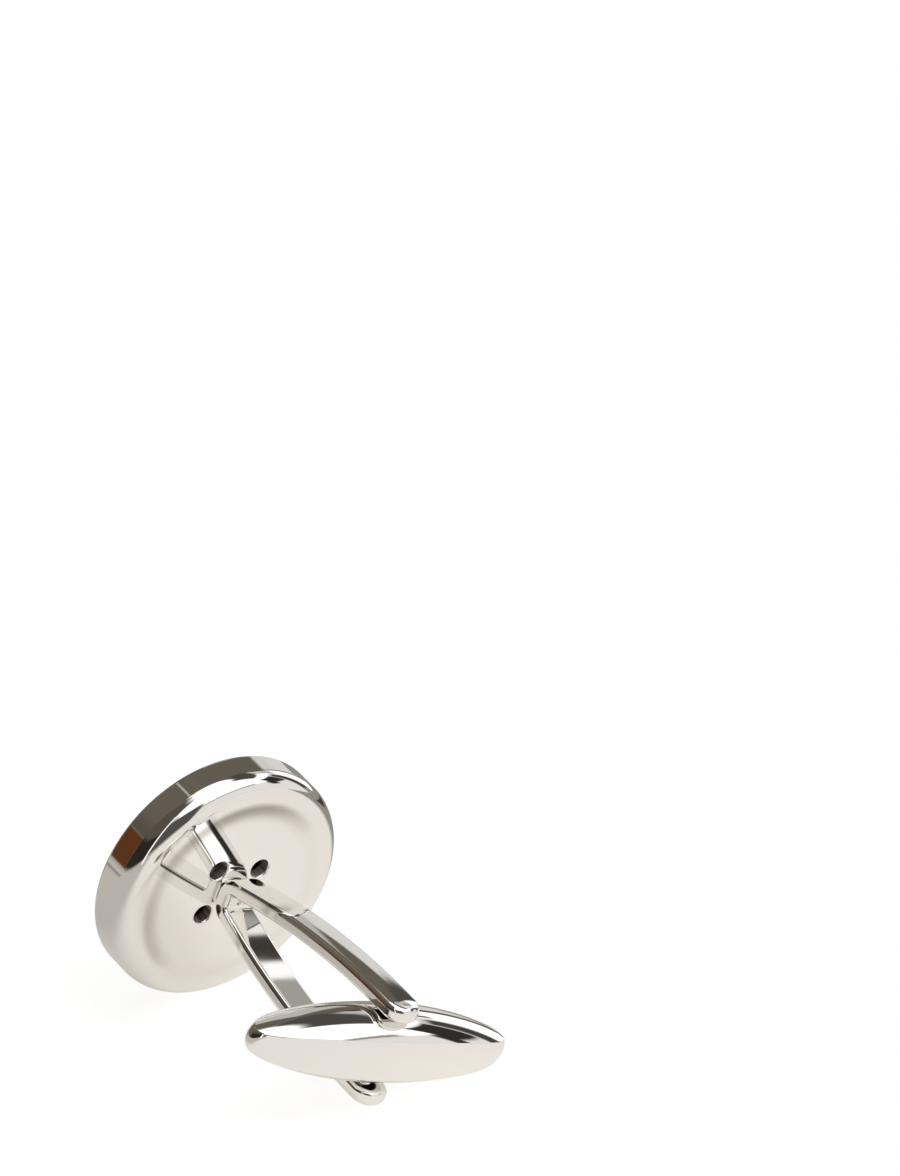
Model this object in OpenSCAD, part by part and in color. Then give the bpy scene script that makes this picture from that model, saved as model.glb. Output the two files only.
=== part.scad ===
// Cufflink with a hollow round head, a bent strap stem and a swivelling bar.
// It stands on its front face at z = 0. The stem rises along +Z, the pin lies
// along Y, and the bar turns on the pin.

/* [Head] */
// Diameter of the round head
face_d = 16.2; // [14:0.1:19]
// Height of the head from its front face to its flat back
head_h = 3; // [2.8:0.1:4]
// Radius of the rounded shoulder between the side wall and the back
shoulder_r = 1.3; // [1:0.1:1.6]
// Radius that breaks the front edge of the rim
rim_edge_r = 0.25; // [0.1:0.05:0.4]
// Thickness of the side wall behind the face plate
wall_t = 1.1; // [0.9:0.1:1.4]
// Thickness of the back wall
back_t = 0.8; // [0.6:0.1:1]
// Thickness of the face plate
plate_t = 0.7; // [0.5:0.1:0.9]
// Width of the rim that shows round the face plate
rim_w = 0.6; // [0.5:0.05:0.8]

/* [Vents] */
// Diameter of each vent hole in the back
vent_d = 1.25; // [0.8:0.05:1.5]
// Distance of each vent from the middle of the back
vent_ring_r = 2.25; // [2.1:0.05:3.2]
// Radius that rounds the lip of a vent
vent_lip_r = 0.16; // [0.05:0.01:0.25]

/* [Stem] */
// Width of the strap, along the bar
strap_w = 2.4; // [2:0.1:2.6]
// Thickness of the strap
strap_t = 1.1; // [0.9:0.05:1.2]
// Clear space between the arms at the pin
arm_gap = 5; // [4.8:0.1:5.4]
// Height of the pin's axis above the back of the head
pin_h = 16; // [14:0.25:20]
// How far the centre of an arm's round end lies past the pin
end_over = 0.7; // [0.4:0.1:1.2]
// Length of the flat foot between the two bends
foot_flat_l = 0.52; // [0.5:0.02:0.8]
// Radius of the tight bend at the foot, along its middle line
foot_bend_r = 0.8; // [0.75:0.05:0.95]

/* [Rivet] */
// Diameter of the rivet that holds the stem to the head
rivet_d = 0.6; // [0.5:0.05:0.65]
// Diameter of the rivet's head between the arms
rivet_head_d = 0.9; // [0.8:0.05:0.95]
// Height of the rivet's domed head and of its spread tail
rivet_head_h = 0.3; // [0.2:0.05:0.35]
// Diameter of the washer inside the head
washer_d = 2.6; // [2:0.1:3]
// Thickness of the washer
washer_t = 0.35; // [0.2:0.05:0.5]

/* [Pin] */
// Diameter of the pin
pin_d = 1.3; // [1.1:0.05:1.4]
// Size across the flats of the pin's square middle
cam_w = 1; // [0.9:0.05:1.1]

/* [Bar] */
// Length of the bar from tip to tip
bar_l = 18; // [16:0.5:20]
// Depth of the bar along the stem, at its middle
bar_d = 4.2; // [4:0.1:4.8]
// Width of the smooth outer band at the middle of the bar
band_w = 2.7; // [2.4:0.1:3]
// Width that the bar would keep at its tips without their rounding
tip_w = 1.5; // [1.2:0.1:1.8]
// Radius that rounds the tips, seen along the stem
tip_round_r = 1.15; // [1:0.05:1.3]
// How far the bar is turned from square across, as it lies in the hand
bar_turn = 9.1; // [0:0.1:12]

/* [Click spring] */
// Length of the hollow in the bar
hollow_l = 8; // [7:0.5:9]
// Width of the hollow in the bar
hollow_w = 1.4; // [1.2:0.1:1.5]
// Thickness of the wall left under the outer band
roof_t = 0.75; // [0.65:0.05:0.8]
// Thickness of the spring leaf
leaf_t = 0.2; // [0.15:0.05:0.25]
// Length of the flat middle of the leaf
leaf_flat_l = 2.4; // [2:0.1:3]
// Thickness of the cover at its ends, from its seat to the band
cover_seat_t = 0.3; // [0.2:0.05:0.4]
// Width of the ledge that the cover seats on
ledge_w = 0.25; // [0.2:0.05:0.3]

/* [Hidden] */

// Gap between pieces that never move against each other
fit_gap = 0.02;
// Gap between pieces that turn or slide
run_gap = 0.05;
// How far a cut runs past the solid that it opens
overrun = 1;
// Roundness of small and of large round faces
fine_fn = 64;
wide_fn = 240;

// Head
face_r = face_d / 2;
pocket_r = face_r - rim_w;
inner_r = face_r - wall_t;
back_z = head_h;
inner_back_z = back_z - back_t;
vent_r = vent_d / 2;

// Stem, with heights measured from the back of the head
strap_half = strap_t / 2;
arm_y = arm_gap / 2 + strap_half;
end_h = pin_h + end_over;
end_r = strap_w / 2;
bend_z = strap_half + foot_bend_r;
bend_y = foot_flat_l / 2;
bend_drop = pin_h - bend_z;
bend_out = arm_y - bend_y;
// Radius of the long curve that runs from the foot's bend to the pin's height
curve_r = (pow(bend_drop, 2) + pow(bend_out, 2) - pow(foot_bend_r, 2)) / (2 * (bend_out - foot_bend_r));
curve_y = arm_y - curve_r;
lean = asin(bend_drop / (curve_r - foot_bend_r));
bend_steps = 12;
curve_steps = 24;

// Rivet
rivet_r = rivet_d / 2;
rivet_head_r = rivet_head_d / 2;
seat_sink = strap_t / 6;
rivet_top_z = back_z + strap_t - seat_sink;
washer_z = inner_back_z - washer_t;

// Pin
pin_z = back_z + pin_h;
pin_r = pin_d / 2;
pin_l = arm_gap + 2 * strap_t;
cam_half = cam_w / 2;
cam_corner = sqrt(pow(pin_r, 2) - pow(cam_half, 2));

// Bar, in its own frame with the pin's axis through its middle
bar_half = bar_l / 2;
depth_half = bar_d / 2;
// The bar's sides all but touch the arms
width_half = arm_gap / 2 - 2 * run_gap;
band_half = band_w / 2;
tip_half = tip_w / 2;
side_rise = width_half - band_half;
side_r = (pow(depth_half, 2) + pow(side_rise, 2)) / (2 * side_rise);
tip_drop = width_half - tip_half;
sweep_r = (pow(bar_half, 2) + pow(tip_drop, 2)) / (2 * tip_drop);
// How full the bar's outline is: 2 and 0.5 would make an ellipse
outline_power_share = 1.7;
outline_root_share = 0.42;
outline_steps = 36;

// Hollow, spring and cover, in the bar's own frame
hollow_half_l = hollow_l / 2;
hollow_half_w = hollow_w / 2;
roof_z = depth_half - roof_t;
cover_half_l = hollow_half_l + 2 * ledge_w;
cover_half_w = hollow_half_w + ledge_w;
seat_z = cover_seat_t - bar_depth(cover_half_l);
leaf_z = cam_half * cos(bar_turn) + cam_corner * sin(bar_turn) + fit_gap;
leaf_half_l = hollow_half_l - 2 * run_gap;
leaf_half_w = hollow_half_w - run_gap;
leaf_end_z = roof_z - fit_gap;

steel = "#d8d5d0";
bright = "#e6e3de";
satin = "#c9c6c1";
brassy = "#c8b070";
spring_grey = "#8f9499";

// Half the bar's depth at a distance x from the pin
function bar_depth(x) =
    depth_half * pow(1 - pow(min(abs(x) / bar_half, 1), outline_power_share), outline_root_share);

// Points along an arc with centre [cy, cz]
function arc(cy, cz, r, a, b, steps) =
    [for (i = [0:steps]) let (t = a + (b - a) * i / steps) [cy + r * cos(t), cz + r * sin(t)]];

// One face of the strap, from the foot to the end of an arm, at an offset
function strap_side(off) = concat(
    arc(bend_y, bend_z, foot_bend_r + off, -90, -lean, bend_steps),
    arc(curve_y, pin_h, curve_r + off, -lean, 0, curve_steps),
    [[arm_y + off, end_h + end_r]]
);

function backwards(points) = [for (i = [len(points) - 1:-1:0]) points[i]];
function mirrored(points) = [for (p = points) [-p[0], p[1]]];

// Outline of the strap seen along X: both arms and the foot between them
function strap_outline() = concat(
    strap_side(strap_half),
    backwards(strap_side(-strap_half)),
    mirrored(strap_side(-strap_half)),
    backwards(mirrored(strap_side(strap_half)))
);

// Outline of the bar seen along the pin
function bar_outline() = concat(
    [for (i = [0:outline_steps]) let (x = bar_half * cos(180 * i / outline_steps)) [x, bar_depth(x)]],
    [for (i = [1:outline_steps - 1])
        let (x = -bar_half * cos(180 * i / outline_steps)) [x, -bar_depth(x)]]
);

// Section of the head's outside, from its axis to its rim
module head_section() {
    translate([0, rim_edge_r]) square([face_r, head_h - shoulder_r - rim_edge_r]);
    square([face_r - rim_edge_r, head_h - shoulder_r]);
    square([face_r - shoulder_r, head_h]);
    translate([face_r - rim_edge_r, rim_edge_r]) circle(r = rim_edge_r, $fn = fine_fn);
    translate([face_r - shoulder_r, head_h - shoulder_r]) circle(r = shoulder_r, $fn = fine_fn);
}

// Cutter for one vent: a straight hole whose lip is rounded
module vent_cutter() {
    lip_z = back_z - vent_lip_r;
    rotate_extrude($fn = fine_fn)
        difference() {
            translate([0, inner_back_z - overrun])
                square([vent_r + vent_lip_r, back_t + 2 * overrun]);
            translate([vent_r, inner_back_z - 2 * overrun])
                square([2 * vent_lip_r, lip_z - inner_back_z + 2 * overrun]);
            translate([vent_r + vent_lip_r, lip_z]) circle(r = vent_lip_r, $fn = fine_fn);
        }
}

module head_cup() {
    color(bright)
        difference() {
            rotate_extrude($fn = wide_fn) head_section();
            translate([0, 0, -overrun]) cylinder(r = pocket_r, h = plate_t + overrun, $fn = wide_fn);
            cylinder(r = inner_r, h = inner_back_z, $fn = wide_fn);
            for (turn = [45:90:315])
                rotate(turn) translate([vent_ring_r, 0]) vent_cutter();
            cylinder(r = rivet_r + fit_gap, h = back_z + overrun, $fn = fine_fn);
        }
}

module face_plate() {
    color(satin) cylinder(r = pocket_r - fit_gap, h = plate_t, $fn = wide_fn);
}

// Front view of one strap: straight sides and a round end
module strap_front() {
    translate([-end_r, -overrun]) square([strap_w, end_h + overrun]);
    translate([0, end_h]) circle(r = end_r, $fn = fine_fn);
}

module stem_fork() {
    color(steel)
        translate([0, 0, back_z])
        difference() {
            intersection() {
                rotate([90, 0, 90])
                    linear_extrude(strap_w + 2 * overrun, center = true) polygon(strap_outline());
                rotate([90, 0, 0])
                    linear_extrude(pin_l + 2 * overrun, center = true) strap_front();
            }
            translate([0, 0, -overrun])
                cylinder(r = rivet_r + fit_gap, h = strap_t + 2 * overrun, $fn = fine_fn);
            translate([0, 0, strap_t - seat_sink])
                cylinder(r = rivet_head_r + fit_gap, h = foot_bend_r, $fn = fine_fn);
            translate([0, 0, pin_h]) rotate([90, 0, 0])
                cylinder(r = pin_r + fit_gap, h = pin_l + 2 * overrun, center = true, $fn = fine_fn);
        }
}

// Low dome of a given radius and height, standing on z = 0
module dome(r, h) {
    ball_r = (pow(r, 2) + pow(h, 2)) / (2 * h);
    intersection() {
        translate([0, 0, h - ball_r]) sphere(r = ball_r, $fn = fine_fn);
        cylinder(r = r, h = 2 * h, $fn = fine_fn);
    }
}

module stem_rivet() {
    color(steel) {
        translate([0, 0, washer_z])
            cylinder(r = rivet_r, h = rivet_top_z - washer_z, $fn = fine_fn);
        translate([0, 0, rivet_top_z]) dome(rivet_head_r, rivet_head_h);
        translate([0, 0, washer_z]) mirror([0, 0, 1]) dome(rivet_head_r, rivet_head_h);
    }
}

module rivet_washer() {
    color(brassy)
        translate([0, 0, washer_z])
        difference() {
            cylinder(r = washer_d / 2, h = washer_t, $fn = fine_fn);
            translate([0, 0, -overrun])
                cylinder(r = rivet_r + fit_gap, h = washer_t + 2 * overrun, $fn = fine_fn);
            for (turn = [45:90:315])
                rotate(turn) translate([vent_ring_r, 0, -overrun])
                    cylinder(r = vent_r + vent_lip_r, h = washer_t + 2 * overrun, $fn = fine_fn);
        }
}

module pivot_pin() {
    cam_l = hollow_w - 2 * run_gap;
    color(steel)
        translate([0, 0, pin_z]) rotate([90, 0, 0])
        difference() {
            cylinder(r = pin_r, h = pin_l, center = true, $fn = fine_fn);
            for (turn = [0:90:270])
                rotate(turn) translate([cam_half, -pin_r, -cam_l / 2])
                    cube([pin_r, pin_d, cam_l]);
        }
}

// Puts a piece of the bar in its place on the pin, turned as it lies
module on_pin() {
    translate([0, 0, pin_z]) rotate([0, -bar_turn, 0]) children();
}

// One of the two swept faces that form the bulging sides of the bar
module side_sweep() {
    translate([0, width_half - sweep_r, 0])
        rotate_extrude($fn = wide_fn) {
            translate([0, -depth_half - overrun])
                square([sweep_r - side_r, bar_d + 2 * overrun]);
            translate([sweep_r - side_r, 0])
                intersection() {
                    circle(r = side_r, $fn = wide_fn);
                    translate([0, -depth_half - overrun])
                        square([side_r, bar_d + 2 * overrun]);
                }
        }
}

// The bar's rounded tips, seen along the stem, and all that lies between them
module bar_plan() {
    round_x = bar_half - tip_round_r;
    square([2 * round_x, 4 * width_half], center = true);
    for (way = [-1, 1]) translate([way * round_x, 0]) circle(r = tip_round_r, $fn = fine_fn);
}

// The bar's outside: its outline seen along the pin, between two bulging sides
module bar_outside() {
    intersection() {
        linear_extrude(bar_d + overrun, center = true) bar_plan();
        rotate([90, 0, 0])
            linear_extrude(2 * width_half + overrun, center = true) polygon(bar_outline());
        side_sweep();
        mirror([0, 1, 0]) side_sweep();
    }
}

// Mouth that the cover closes, from its seat to beyond the bar, less a gap
module cover_space(gap) {
    mouth_z = -depth_half - overrun;
    translate([gap - cover_half_l, gap - cover_half_w, mouth_z])
        cube([2 * (cover_half_l - gap), 2 * (cover_half_w - gap), seat_z - gap - mouth_z]);
}

module toggle_body() {
    color(bright) on_pin()
        difference() {
            bar_outside();
            translate([-hollow_half_l, -hollow_half_w, -depth_half])
                cube([hollow_l, hollow_w, depth_half + roof_z]);
            cover_space(0);
            rotate([90, 0, 0])
                cylinder(r = pin_r + run_gap, h = arm_gap + overrun, center = true, $fn = fine_fn);
        }
}

module toggle_cover() {
    color(bright) on_pin()
        intersection() {
            bar_outside();
            cover_space(fit_gap);
        }
}

// Outline of the leaf: a flat middle on the pin, and ends raised to the roof
function leaf_side(off) = [
    [-leaf_half_l, leaf_end_z - leaf_t + off],
    [-leaf_flat_l / 2, leaf_z + off],
    [leaf_flat_l / 2, leaf_z + off],
    [leaf_half_l, leaf_end_z - leaf_t + off]
];

module detent_spring() {
    color(spring_grey) on_pin()
        rotate([90, 0, 0])
        linear_extrude(2 * leaf_half_w, center = true)
        polygon(concat(leaf_side(0), backwards(leaf_side(leaf_t))));
}

head_cup();
face_plate();
stem_fork();
stem_rivet();
rivet_washer();
pivot_pin();
toggle_body();
toggle_cover();
detent_spring();
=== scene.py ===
# %% [markdown]
# # A polished cufflink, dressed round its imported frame
#
# The link has a hollow round head, a forked strap stem, and a bar that turns on a pin
# between the arms. It is polished like a mirror all over, so two things make it look
# real: surfaces that are truly smooth, and something worth reflecting round about.
# Every piece stays where the frame has it. The frame's own meshes are exact, but they
# are made of small flat facets, and a mirror shows each one. So the polished pieces that
# show are made again here from formulas, with the many points and true normals that a
# mirror needs.

import math

import bmesh
import bpy
import numpy as np
from mathutils import Matrix, Vector
from mathutils.geometry import delaunay_2d_cdt


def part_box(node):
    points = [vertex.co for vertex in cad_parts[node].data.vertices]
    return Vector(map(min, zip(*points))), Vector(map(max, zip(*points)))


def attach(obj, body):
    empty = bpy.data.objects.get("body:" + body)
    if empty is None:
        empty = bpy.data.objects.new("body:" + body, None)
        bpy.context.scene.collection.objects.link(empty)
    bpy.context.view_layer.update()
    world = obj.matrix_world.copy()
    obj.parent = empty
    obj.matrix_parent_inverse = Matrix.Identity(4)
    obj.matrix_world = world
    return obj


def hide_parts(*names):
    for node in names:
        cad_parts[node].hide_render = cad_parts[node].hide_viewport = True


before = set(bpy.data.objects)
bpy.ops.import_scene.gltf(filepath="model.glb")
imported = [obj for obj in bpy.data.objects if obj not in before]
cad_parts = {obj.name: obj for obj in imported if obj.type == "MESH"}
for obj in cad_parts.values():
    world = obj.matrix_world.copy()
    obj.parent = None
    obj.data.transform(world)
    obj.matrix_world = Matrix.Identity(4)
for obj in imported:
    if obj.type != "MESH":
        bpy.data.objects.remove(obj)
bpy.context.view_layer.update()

# %% [markdown]
# ## Sizes
#
# A size could be written twice, here and in the frame, but then one change makes them
# differ. So what the frame can tell is read from it: the head's radius and height, the
# pin's axis, and the strap's width and reach. The rest are the pieces' own sizes, such as
# the radius of a rounded edge, and each is written where its piece is made.

# %% Sizes that the frame gives
MM = 0.001


def span(node):
    """Lowest and highest corner of a frame piece, as two arrays in metres."""
    low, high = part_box(node)
    return np.array(low), np.array(high)


_, cup_high = span("head_cup")
_, plate_high = span("face_plate")
fork_low, fork_high = span("stem_fork")
pin_low, pin_high = span("pivot_pin")

head_r = cup_high[0]
back_z = cup_high[2]
plate_t = plate_high[2]
pin_z = (pin_low[2] + pin_high[2]) / 2
arm_outer_y = fork_high[1]
strap_w = fork_high[0] - fork_low[0]
strap_top_z = fork_high[2]
print("head radius, back, pin height in mm:", [round(v / MM, 3) for v in (head_r, back_z, pin_z)])

# %% [markdown]
# ## A skin made of patches
#
# A smooth piece is a few patches, each a formula of two numbers u and v. One way to join
# them is to let Blender smooth the whole mesh, but it then smears the light across every
# crisp edge. Instead each patch keeps the normals of its own formula, and the patches are
# welded where their points meet. That gives one closed mesh with crisp edges where patches
# meet at an angle, and no visible seam where they meet smoothly.

# %% A helper that welds patches
WELD = 0.0002 * MM
NUDGE = 1e-4
NEAR_ZERO = 1e-30


def put(name, data):
    """A new object in the scene, for a mesh or a camera."""
    thing = bpy.data.objects.new(name, data)
    bpy.context.scene.collection.objects.link(thing)
    return thing


def unit(vectors):
    """The same vectors with length one."""
    return vectors / np.maximum(np.linalg.norm(vectors, axis=-1, keepdims=True), NEAR_ZERO)



class Skin:
    """Patches of smooth surface that become one mesh, each with its own normals."""

    def __init__(self):
        self.points, self.normals, self.faces = [], [], []
        self.count = 0

    def add(self, points, normals, faces):
        """Adds loose points, their normals, and faces that index them."""
        self.points.append(np.asarray(points, float).reshape(-1, 3))
        self.normals.append(np.asarray(normals, float).reshape(-1, 3))
        self.faces += [tuple(self.count + i for i in face) for face in faces]
        self.count += len(self.points[-1])

    def patch(self, formula, us, vs):
        """Adds a grid of formula(u, v), with normals from small steps of u and v."""
        u, v = np.meshgrid(np.asarray(us, float), np.asarray(vs, float), indexing="ij")
        du = NUDGE * (np.max(us) - np.min(us))
        dv = NUDGE * (np.max(vs) - np.min(vs))
        along_u = formula(u + du, v) - formula(u - du, v)
        along_v = formula(u, v + dv) - formula(u, v - dv)
        normal = unit(np.cross(along_u, along_v))
        rows, columns = u.shape
        corners = [i * columns + j for i in range(rows - 1) for j in range(columns - 1)]
        faces = [(c, c + columns, c + columns + 1, c + 1) for c in corners]
        self.add(formula(u, v), normal, faces)

    def weld(self):
        """One point for each place, and the place that each patch point became."""
        points = np.concatenate(self.points)
        sketch = bmesh.new()
        for point in points:
            sketch.verts.new(point)
        sketch.verts.index_update()
        twins = bmesh.ops.find_doubles(sketch, verts=sketch.verts, dist=WELD)["targetmap"]
        target = np.arange(len(points))
        for dot, kept in twins.items():
            target[dot.index] = kept.index
        sketch.free()
        used, same = np.unique(target, return_inverse=True)
        return points[used], same.reshape(-1)

    def build(self, name, material, body, slot, *nodes):
        """Welds the patches into an object that rides on a body and stands for nodes."""
        points, same = self.weld()
        normals = np.concatenate(self.normals)
        faces, wanted = [], []
        for face in self.faces:
            kept = [c for k, c in enumerate(face) if same[c] != same[face[k - 1]]]
            if len({same[c] for c in kept}) > 2:
                faces.append([int(same[c]) for c in kept])
                wanted.append({int(same[c]): normals[c] for c in kept})
        mesh = bpy.data.meshes.new(name)
        mesh.from_pydata(points.tolist(), [], faces)
        shell = bmesh.new()
        shell.from_mesh(mesh)
        bmesh.ops.recalc_face_normals(shell, faces=shell.faces)
        open_edges = sum(not e.is_manifold for e in shell.edges)
        shell.to_mesh(mesh)
        shell.free()
        corner_normals = []
        for polygon, own in zip(mesh.polygons, wanted):
            polygon.use_smooth = True
            for vertex in polygon.vertices:
                normal = Vector(own[vertex])
                corner_normals.append(normal if normal.dot(polygon.normal) > 0 else -normal)
        mesh.normals_split_custom_set(corner_normals)
        mesh.materials.append(material)
        piece = put(name, mesh)
        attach(piece, body)
        if nodes:
            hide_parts(*nodes)
        print(name, "has", len(mesh.polygons), "faces and", open_edges, "open edges")
        return piece


def steps(start, end, count):
    """Evenly spaced values from start to end, both included."""
    return np.linspace(start, end, count + 1)


# %% [markdown]
# ## Helpers for shader nodes
#
# A material is a small graph, and its steps are mostly the same few: a noise, a ramp, a
# blend of two colours, a bump. Each could be wired by hand where it is needed, but then
# the finish is lost in the wiring. So each step is one short helper that takes numbers or
# sockets, and gives back the socket to go on with.

# %% Helpers for numbers and places
FLOAT = "NodeSocketFloat"
SMOOTH = "SMOOTHSTEP"


def feed(tree, socket, value):
    """Links a socket to another one, or sets it to a number, a vector or a colour."""
    if isinstance(value, bpy.types.NodeSocket):
        tree.links.new(value, socket)
    elif socket.type == "RGBA" and len(value) == 3:
        socket.default_value = (*value, 1)
    else:
        socket.default_value = value


def calculate(tree, operation, *values):
    """A maths node's result."""
    node = tree.nodes.new("ShaderNodeMath")
    node.operation = operation
    for socket, value in zip(node.inputs, values):
        feed(tree, socket, value)
    return node.outputs[0]


def on_vectors(tree, operation, *vectors):
    """A vector node's result: a number for a length or a dot product, else a vector."""
    node = tree.nodes.new("ShaderNodeVectorMath")
    node.operation = operation
    for socket, vector in zip(node.inputs, vectors):
        feed(tree, socket, vector)
    return node.outputs["Value" if operation in ("LENGTH", "DOT_PRODUCT") else "Vector"]


def own_places(tree):
    """The place of each point in the piece's own frame."""
    return tree.nodes.new("ShaderNodeTexCoord").outputs["Object"]


def from_axis(tree, where):
    """How far a place is from the head's axis."""
    return on_vectors(tree, "LENGTH", on_vectors(tree, "MULTIPLY", where, (1, 1, 0)))


def ramp(tree, value, start, end, low=0, high=1, kind="LINEAR"):
    """Goes from low to high while the value goes from start to end."""
    node = tree.nodes.new("ShaderNodeMapRange")
    node.interpolation_type = kind
    labels = ("Value", "From Min", "From Max", "To Min", "To Max")
    for label, given in zip(labels, (value, start, end, low, high)):
        feed(tree, node.inputs[label], given)
    return node.outputs["Result"]


def noise(tree, where, scale, detail, roughness=0.5):
    """A noise that reads a place, or a single number."""
    node = tree.nodes.new("ShaderNodeTexNoise")
    one_number = where.type == "VALUE"
    if one_number:
        node.noise_dimensions = "1D"
    feed(tree, node.inputs["W" if one_number else "Vector"], where)
    feed(tree, node.inputs["Scale"], scale)
    feed(tree, node.inputs["Detail"], detail)
    feed(tree, node.inputs["Roughness"], roughness)
    return node.outputs["Fac"]


print("helpers for numbers and places are ready")

# %% Helpers for colours, bumps and groups
MIX_FIRST, MIX_SECOND, MIX_RESULT = 6, 7, 2


def blended(tree, share, first, second):
    """A colour that turns from the first into the second."""
    node = tree.nodes.new("ShaderNodeMix")
    node.data_type = "RGBA"
    feed(tree, node.inputs["Factor"], share)
    feed(tree, node.inputs[MIX_FIRST], first)
    feed(tree, node.inputs[MIX_SECOND], second)
    return node.outputs[MIX_RESULT]


def new_metal(name, metallic=1.0):
    """A new material, with its tree and its shader at hand."""
    material = bpy.data.materials.new(name)
    material.use_nodes = True
    tree = material.node_tree
    shader = tree.nodes["Principled BSDF"]
    shader.inputs["Metallic"].default_value = metallic
    return material, tree, shader


def tilt(tree, shader, height, depth):
    """Tilts the shader's surface by a height that is so many metres deep."""
    bump = tree.nodes.new("ShaderNodeBump")
    bump.inputs["Distance"].default_value = depth
    feed(tree, bump.inputs["Height"], height)
    feed(tree, shader.inputs["Normal"], bump.outputs["Normal"])


def new_group(name, inputs, outputs):
    """A group of nodes with named numbers going in, {name: value}, and coming out."""
    group = bpy.data.node_groups.new(name, "ShaderNodeTree")
    for label, value in inputs.items():
        socket = group.interface.new_socket(label, in_out="INPUT", socket_type=FLOAT)
        socket.default_value = value
    for label in outputs:
        group.interface.new_socket(label, in_out="OUTPUT", socket_type=FLOAT)
    return group


def ends_of(tree):
    """The sockets that come into a group, and those that go out of it."""
    return tree.nodes.new("NodeGroupInput").outputs, tree.nodes.new("NodeGroupOutput").inputs


def placed(tree, group, values, label=""):
    """Places a group with its own values in a tree, and gives its outputs."""
    node = tree.nodes.new("ShaderNodeGroup")
    node.node_tree = group
    node.label = label
    for name, value in values.items():
        feed(tree, node.inputs[name], value)
    return node.outputs


print("helpers for colours, bumps and groups are ready")

# %% [markdown]
# ## Polished plate
#
# The real finish is a silver-coloured plating, buffed to a mirror. It could be a metal with
# roughness zero, but nothing that has been handled is that clean: buffing leaves very fine
# scratches in all directions, and fingers leave soft blurred places. Both change the
# roughness a little, and the scratches also tilt the surface by a hair. They are one node
# group, because the head, the stem and the bar share them, each with its own amounts.

# %% A node group for handled polish
SMUDGE_DETAIL, SMUDGE_FADE = 3, 0.45
SMUDGE_STARTS, SMUDGE_FULL = 0.45, 0.72
SCRATCH_DETAIL, SCRATCH_FADE = 4, 0.6
polish = new_group(
    "Handled polish",
    {
        "Clean roughness": 0.03,
        "Smudge roughness": 0.08,
        "Smudge scale": 250.0,
        "Scratch scale": 3500.0,
    },
    ("Roughness", "Height"),
)


def polish_nodes(tree):
    """Fills the group: soft smudges blur the mirror, fine scratches give a height."""
    given, made = ends_of(tree)
    where = own_places(tree)
    smudge = noise(tree, where, given["Smudge scale"], SMUDGE_DETAIL, SMUDGE_FADE)
    clean, smudged = given["Clean roughness"], given["Smudge roughness"]
    blur = ramp(tree, smudge, SMUDGE_STARTS, SMUDGE_FULL, clean, smudged, SMOOTH)
    scratch = noise(tree, where, given["Scratch scale"], SCRATCH_DETAIL, SCRATCH_FADE)
    feed(tree, made["Roughness"], blur)
    feed(tree, made["Height"], scratch)


polish_nodes(polish)
print("group sockets:", [s.name for s in polish.interface.items_tree])

# %% A material of polished plate
SILVER = (0.93, 0.915, 0.89)
SCRATCH_DEPTH = 0.00001 * MM


def polished(name, clean, smudged):
    """Silver-coloured mirror polish with its own blur, clean and smudged."""
    material, tree, shader = new_metal(name)
    feed(tree, shader.inputs["Base Color"], SILVER)
    finish = placed(tree, polish, {"Clean roughness": clean, "Smudge roughness": smudged})
    feed(tree, shader.inputs["Roughness"], finish["Roughness"])
    tilt(tree, shader, finish["Height"], SCRATCH_DEPTH)
    return material


head_polish = polished("Polished head", 0.03, 0.07)
stem_polish = polished("Polished stem", 0.04, 0.08)
bar_polish = polished("Polished bar", 0.03, 0.06)
print("polished materials:", [m.name for m in (head_polish, stem_polish, bar_polish)])

# %% [markdown]
# ## Painted shade inside the shoulder
# On the real head a soft darker ring lies where the flat back meets the rounded shoulder:
# a darker reflection that the real back shows where it starts to curve. Here it is painted
# shade in the metal's colour, on a back that stays flat. A painted texture would need an
# image. The distance from the head's axis is enough: the ring rises softly to its outer
# edge and falls quickly behind it. A slow noise makes it uneven, and it is deeper on one side.

# %% The painted shade ring on the head's back
# Painted shade: the ring turns the silver to this colour, in place of a darker reflection.
RING_SHADE = (0.45, 0.42, 0.385)
SHADED_SIDE = (-0.81, 0.59, 0)
FAINTEST_FROM, DARK_FROM, LEAST_SHADE = -2.0 * MM, 3.5 * MM, 0.1
PATCHES, PATCH_LOW, PATCH_HIGH, PATCH_LEAST = 160, 0.3, 0.6, 0.4
ring = new_group(
    "Painted shade ring",
    {"Starts at": 5.0 * MM, "Deepest at": 6.1 * MM, "Ends at": 6.7 * MM},
    ("Mask",),
)


def ring_nodes(tree):
    """Fills the group: a ring of painted shade round the axis, soft inside, quick outside, uneven
    round.
    """
    given, made = ends_of(tree)
    where = own_places(tree)
    radius = from_axis(tree, where)
    deepest = given["Deepest at"]
    rise = ramp(tree, radius, given["Starts at"], deepest, kind=SMOOTH)
    fall = ramp(tree, radius, deepest, given["Ends at"], 1, 0, SMOOTH)
    uneven = ramp(tree, noise(tree, where, PATCHES, 1), PATCH_LOW, PATCH_HIGH, PATCH_LEAST)
    across = on_vectors(tree, "DOT_PRODUCT", where, SHADED_SIDE)
    one_side = ramp(tree, across, FAINTEST_FROM, DARK_FROM, LEAST_SHADE, kind=SMOOTH)
    mask = rise
    for share in (fall, uneven, one_side):
        mask = calculate(tree, "MULTIPLY", mask, share)
    feed(tree, made["Mask"], mask)


def painted_shade_over(material):
    """Lays the ring of painted shade over a polished material's colour."""
    tree = material.node_tree
    colour = tree.nodes["Principled BSDF"].inputs["Base Color"]
    feed(tree, colour, blended(tree, placed(tree, ring, {})["Mask"], SILVER, RING_SHADE))


ring_nodes(ring)
# The head's polish gets the ring of painted shade.
painted_shade_over(head_polish)
print("ring sockets:", [s.name for s in ring.interface.items_tree])

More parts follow.
